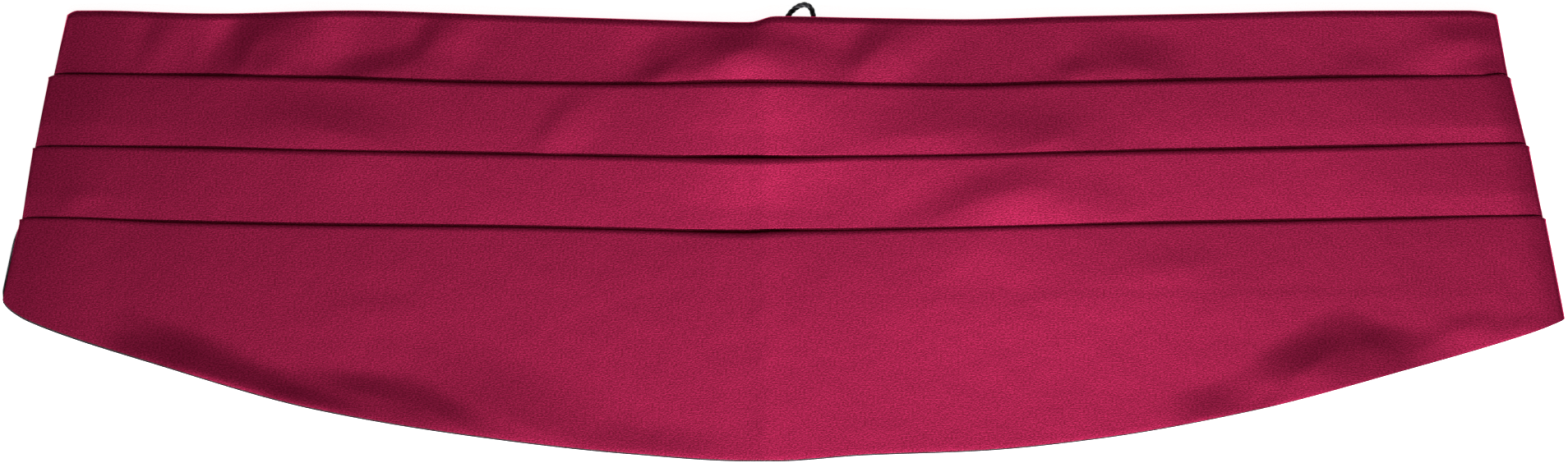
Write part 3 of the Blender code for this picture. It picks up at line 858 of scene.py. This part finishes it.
def satin_material():
    """Polyester satin, woven with long floats that lie side by side and shine together.

    The floats are dyed through, so their gloss is coloured as a metal's is: the flat cloth is a deep pink,
    and it goes nearly black where it turns from the light.
    """
    material, shader = new_material("burgundy polyester satin")
    shader.inputs["Metallic"].default_value = 0.85
    shader.inputs["Roughness"].default_value = 0.40
    shader.inputs["IOR"].default_value = 1.8
    shader.inputs["Specular IOR Level"].default_value = 1.0
    shader.inputs["Specular Tint"].default_value = (1.0, 0.25, 0.45, 1.0)
    cloth = add_node(material, "ShaderNodeUVMap", {"uv_map": "cloth"})
    stretched = add_node(
        material, "ShaderNodeMapping", {"Scale": (0.75, 1.25, 1.0)}, {"Vector": (cloth, "UV")}
    )
    grain = add_node(
        material,
        "ShaderNodeTexNoise",
        {"Scale": 1 / (SATIN_GRAIN * MM), "Detail": 1.5, "Roughness": 0.6},
        {"Vector": (stretched, "Vector")},
    )
    shade = add_node(material, "ShaderNodeValToRGB", {}, {"Fac": (grain, "Fac")})
    shade.color_ramp.elements[0].position = 0.32
    shade.color_ramp.elements[0].color = colour("#82102E")
    shade.color_ramp.elements[1].position = 0.68
    shade.color_ramp.elements[1].color = colour("#BC2558")
    material.node_tree.links.new(shade.outputs["Color"], shader.inputs["Base Color"])
    cockle = add_node(
        material,
        "ShaderNodeTexNoise",
        {"Scale": 1 / (SATIN_COCKLE * MM), "Detail": 2.0, "Roughness": 0.55},
        {"Vector": (cloth, "UV")},
    )
    uneven = add_node(
        material,
        "ShaderNodeBump",
        {"Strength": 1.0, "Distance": SATIN_COCKLE_RISE * MM},
        {"Height": (cockle, "Fac")},
    )
    bump = add_node(
        material,
        "ShaderNodeBump",
        {"Strength": 0.5, "Distance": THREAD_RISE * MM},
        {"Height": (grain, "Fac"), "Normal": (uneven, "Normal")},
    )
    material.node_tree.links.new(bump.outputs["Normal"], shader.inputs["Normal"])
    return material


def black_weave_material(name, roughness, dark, light, along, across):
    """Black cloth seen as crossed threads, of the given spacings in mm."""
    material, shader = new_material(name)
    shader.inputs["Roughness"].default_value = roughness
    cloth = add_node(material, "ShaderNodeUVMap", {"uv_map": "cloth"})
    threads = []
    for direction, spacing in (("X", along), ("Y", across)):
        scale = BAND_SPACING / (spacing * MM)
        bands = {"bands_direction": direction, "Scale": scale, "Distortion": 0.6, "Detail": 1.0}
        threads.append(add_node(material, "ShaderNodeTexWave", bands, {"Vector": (cloth, "UV")}))
    woven = add_node(material, "ShaderNodeMath", {"operation": "MAXIMUM"})
    material.node_tree.links.new(threads[0].outputs["Fac"], woven.inputs[0])
    material.node_tree.links.new(threads[1].outputs["Fac"], woven.inputs[1])
    shade = add_node(material, "ShaderNodeValToRGB", {}, {"Fac": (woven, "Value")})
    shade.color_ramp.elements[0].color = colour(dark)
    shade.color_ramp.elements[1].color = colour(light)
    material.node_tree.links.new(shade.outputs["Color"], shader.inputs["Base Color"])
    bump = add_node(
        material,
        "ShaderNodeBump",
        {"Strength": 0.5, "Distance": THREAD_RISE * MM},
        {"Height": (woven, "Value")},
    )
    material.node_tree.links.new(bump.outputs["Normal"], shader.inputs["Normal"])
    return material


def lining_material():
    """Acetate lining in a plain weave: black, with a dull shine."""
    return black_weave_material("black woven acetate lining", 0.5, "#060607", "#19181B", 0.5, 0.5)


def elastic_material():
    """Woven elastic: polyester yarn over rubber cords, matt, with a fine rib along it."""
    return black_weave_material("black woven elastic", 0.8, "#070708", "#1C1C1F", 1.0, 1.39)


def uneven_black_material(name, dark, light, roughness, grain):
    """Black that catches the light unevenly, over fibres or over enamel; grain is their size in mm."""
    material, shader = new_material(name)
    shader.inputs["Roughness"].default_value = roughness
    here = add_node(material, "ShaderNodeTexCoord")
    uneven = add_node(
        material,
        "ShaderNodeTexNoise",
        {"Scale": 1 / (grain * MM), "Detail": 2.0},
        {"Vector": (here, "Object")},
    )
    shade = add_node(material, "ShaderNodeValToRGB", {}, {"Fac": (uneven, "Fac")})
    shade.color_ramp.elements[0].position = 0.3
    shade.color_ramp.elements[0].color = colour(dark)
    shade.color_ramp.elements[1].position = 0.75
    shade.color_ramp.elements[1].color = colour(light)
    material.node_tree.links.new(shade.outputs["Color"], shader.inputs["Base Color"])
    bump = add_node(
        material,
        "ShaderNodeBump",
        {"Strength": 0.4, "Distance": THREAD_RISE * MM},
        {"Height": (uneven, "Fac")},
    )
    material.node_tree.links.new(bump.outputs["Normal"], shader.inputs["Normal"])
    return material


def thread_material():
    """Spun polyester sewing thread, dyed black: nearly matt, with a faint fuzz of short fibres."""
    return uneven_black_material("black sewing thread", "#08080A", "#202024", 0.6, 0.15)


def cord_material():
    """Rayon yarn twisted into strands, and those into a cord: black, with a soft sheen along the twist."""
    return uneven_black_material("black twisted rayon cord", "#050506", "#1E1E22", 0.55, 0.2)


def clasp_material():
    """Sheet steel, stamped and stove-enamelled black: a low gloss with fine orange peel."""
    return uneven_black_material("black enamelled steel", "#0B0B0C", "#1A1A1C", 0.32, 0.8)


def plain_floor_material():
    """Painted studio floor: matt, and lit enough to come out nearly white, as the ground of the photo is."""
    material, shader = new_material("pale studio floor")
    shader.inputs["Roughness"].default_value = 0.9
    shader.inputs["Base Color"].default_value = colour("#FAFAFA")
    shader.inputs["Emission Color"].default_value = colour("#FFFFFF")
    shader.inputs["Emission Strength"].default_value = FLOOR_GLOW
    return material


# Pieces

FLOOR_SIZE = 6  # metres
FLOOR_GAP = 0.05  # below the lining, so that the two faces don't lie in one plane


def make_floor():
    bpy.ops.mesh.primitive_plane_add(size=FLOOR_SIZE, location=(0, 0, -FLOOR_GAP * MM))
    floor = bpy.context.active_object
    floor.name = "floor"
    floor.data.materials.append(plain_floor_material())


def dress_front(satin):
    panel = lay_panel("satin_panel", satin_path, no_reach, satin_height, ACROSS_STEPS, SATIN)
    finish_piece(panel, ["front_panel"], satin)
    return panel


def dress_lining(lining_cloth):
    panel = lay_panel("lining_panel", lining_path, lining_reach, lining_height, LINING_STEPS, LINING)
    finish_piece(panel, ["back_lining"], lining_cloth)
    return panel


def dress_straps(elastic, thread):
    """The two elastics, and the bars of thread that hold them to the clasp and to the lining."""
    low, high = STRAP_HEIGHT - STRAP_WIDTH / 2, STRAP_HEIGHT + STRAP_WIDTH / 2
    for name, route in (("left", STRAP_LEFT_ROUTE), ("right", STRAP_RIGHT_ROUTE)):
        strap = make_strap(f"{name}_elastic", route)
        finish_piece(strap, [f"strap_{name}"], elastic)
    tacks = []
    for end_x, step in STRAP_END_TACKS:
        for x in (end_x, end_x + step * TACK_ROWS_APART):
            for y in np.arange(low + 1.5, high - 1.4, 2.0):
                start, end = y - TACK_HALF_LENGTH, y + TACK_HALF_LENGTH
                tacks.append(((x, start, STRAP + 0.05), (x, end, STRAP + 0.05)))
    # from the hook's edges down to the strap
    for x in HOOK_TACKS:
        for side in (-1, 1):
            tacks.append(((x, STRAP_HEIGHT + side * 6.3, 2.35), (x, STRAP_HEIGHT + side * 8.6, 1.1)))
    # and on the raised strap, over the eye's edges
    for x in EYE_TACKS:
        for side in (-1, 1):
            tacks.append(((x, STRAP_HEIGHT + side * 8.8, 2.3), (x, STRAP_HEIGHT + side * 11.2, 2.3)))
    stitches = make_thread_tacks("strap_stitches", tacks)
    stitches.data.materials.append(thread)
    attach(stitches, "root")


def dress_loop(cord_yarn, thread):
    """The cord loop, and the bars of thread that hold its two legs."""
    cord, path, length = make_cord_loop()
    finish_piece(cord, ["top_loop"], cord_yarn)
    tacks = []
    for x, y in LOOP_TACKS:
        start, end = x - LOOP_TACK_HALF_LENGTH, x + LOOP_TACK_HALF_LENGTH
        tacks.append(((start, y, LOOP_TACK_HEIGHT), (end, y + 0.3, LOOP_TACK_HEIGHT)))
    stitches = make_thread_tacks("loop_stitches", tacks)
    stitches.data.materials.append(thread)
    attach(stitches, "root")


def main():
    set_camera()
    set_light()
    make_floor()
    thread = thread_material()
    dress_loop(cord_material(), thread)
    lining = dress_lining(lining_material())
    satin = dress_front(satin_material())
    dress_straps(elastic_material(), thread)
    steel = clasp_material()
    for name in ("clasp_hook", "clasp_eye"):
        node = bpy.data.objects[name]
        for slot in node.material_slots:
            slot.material = steel


main()
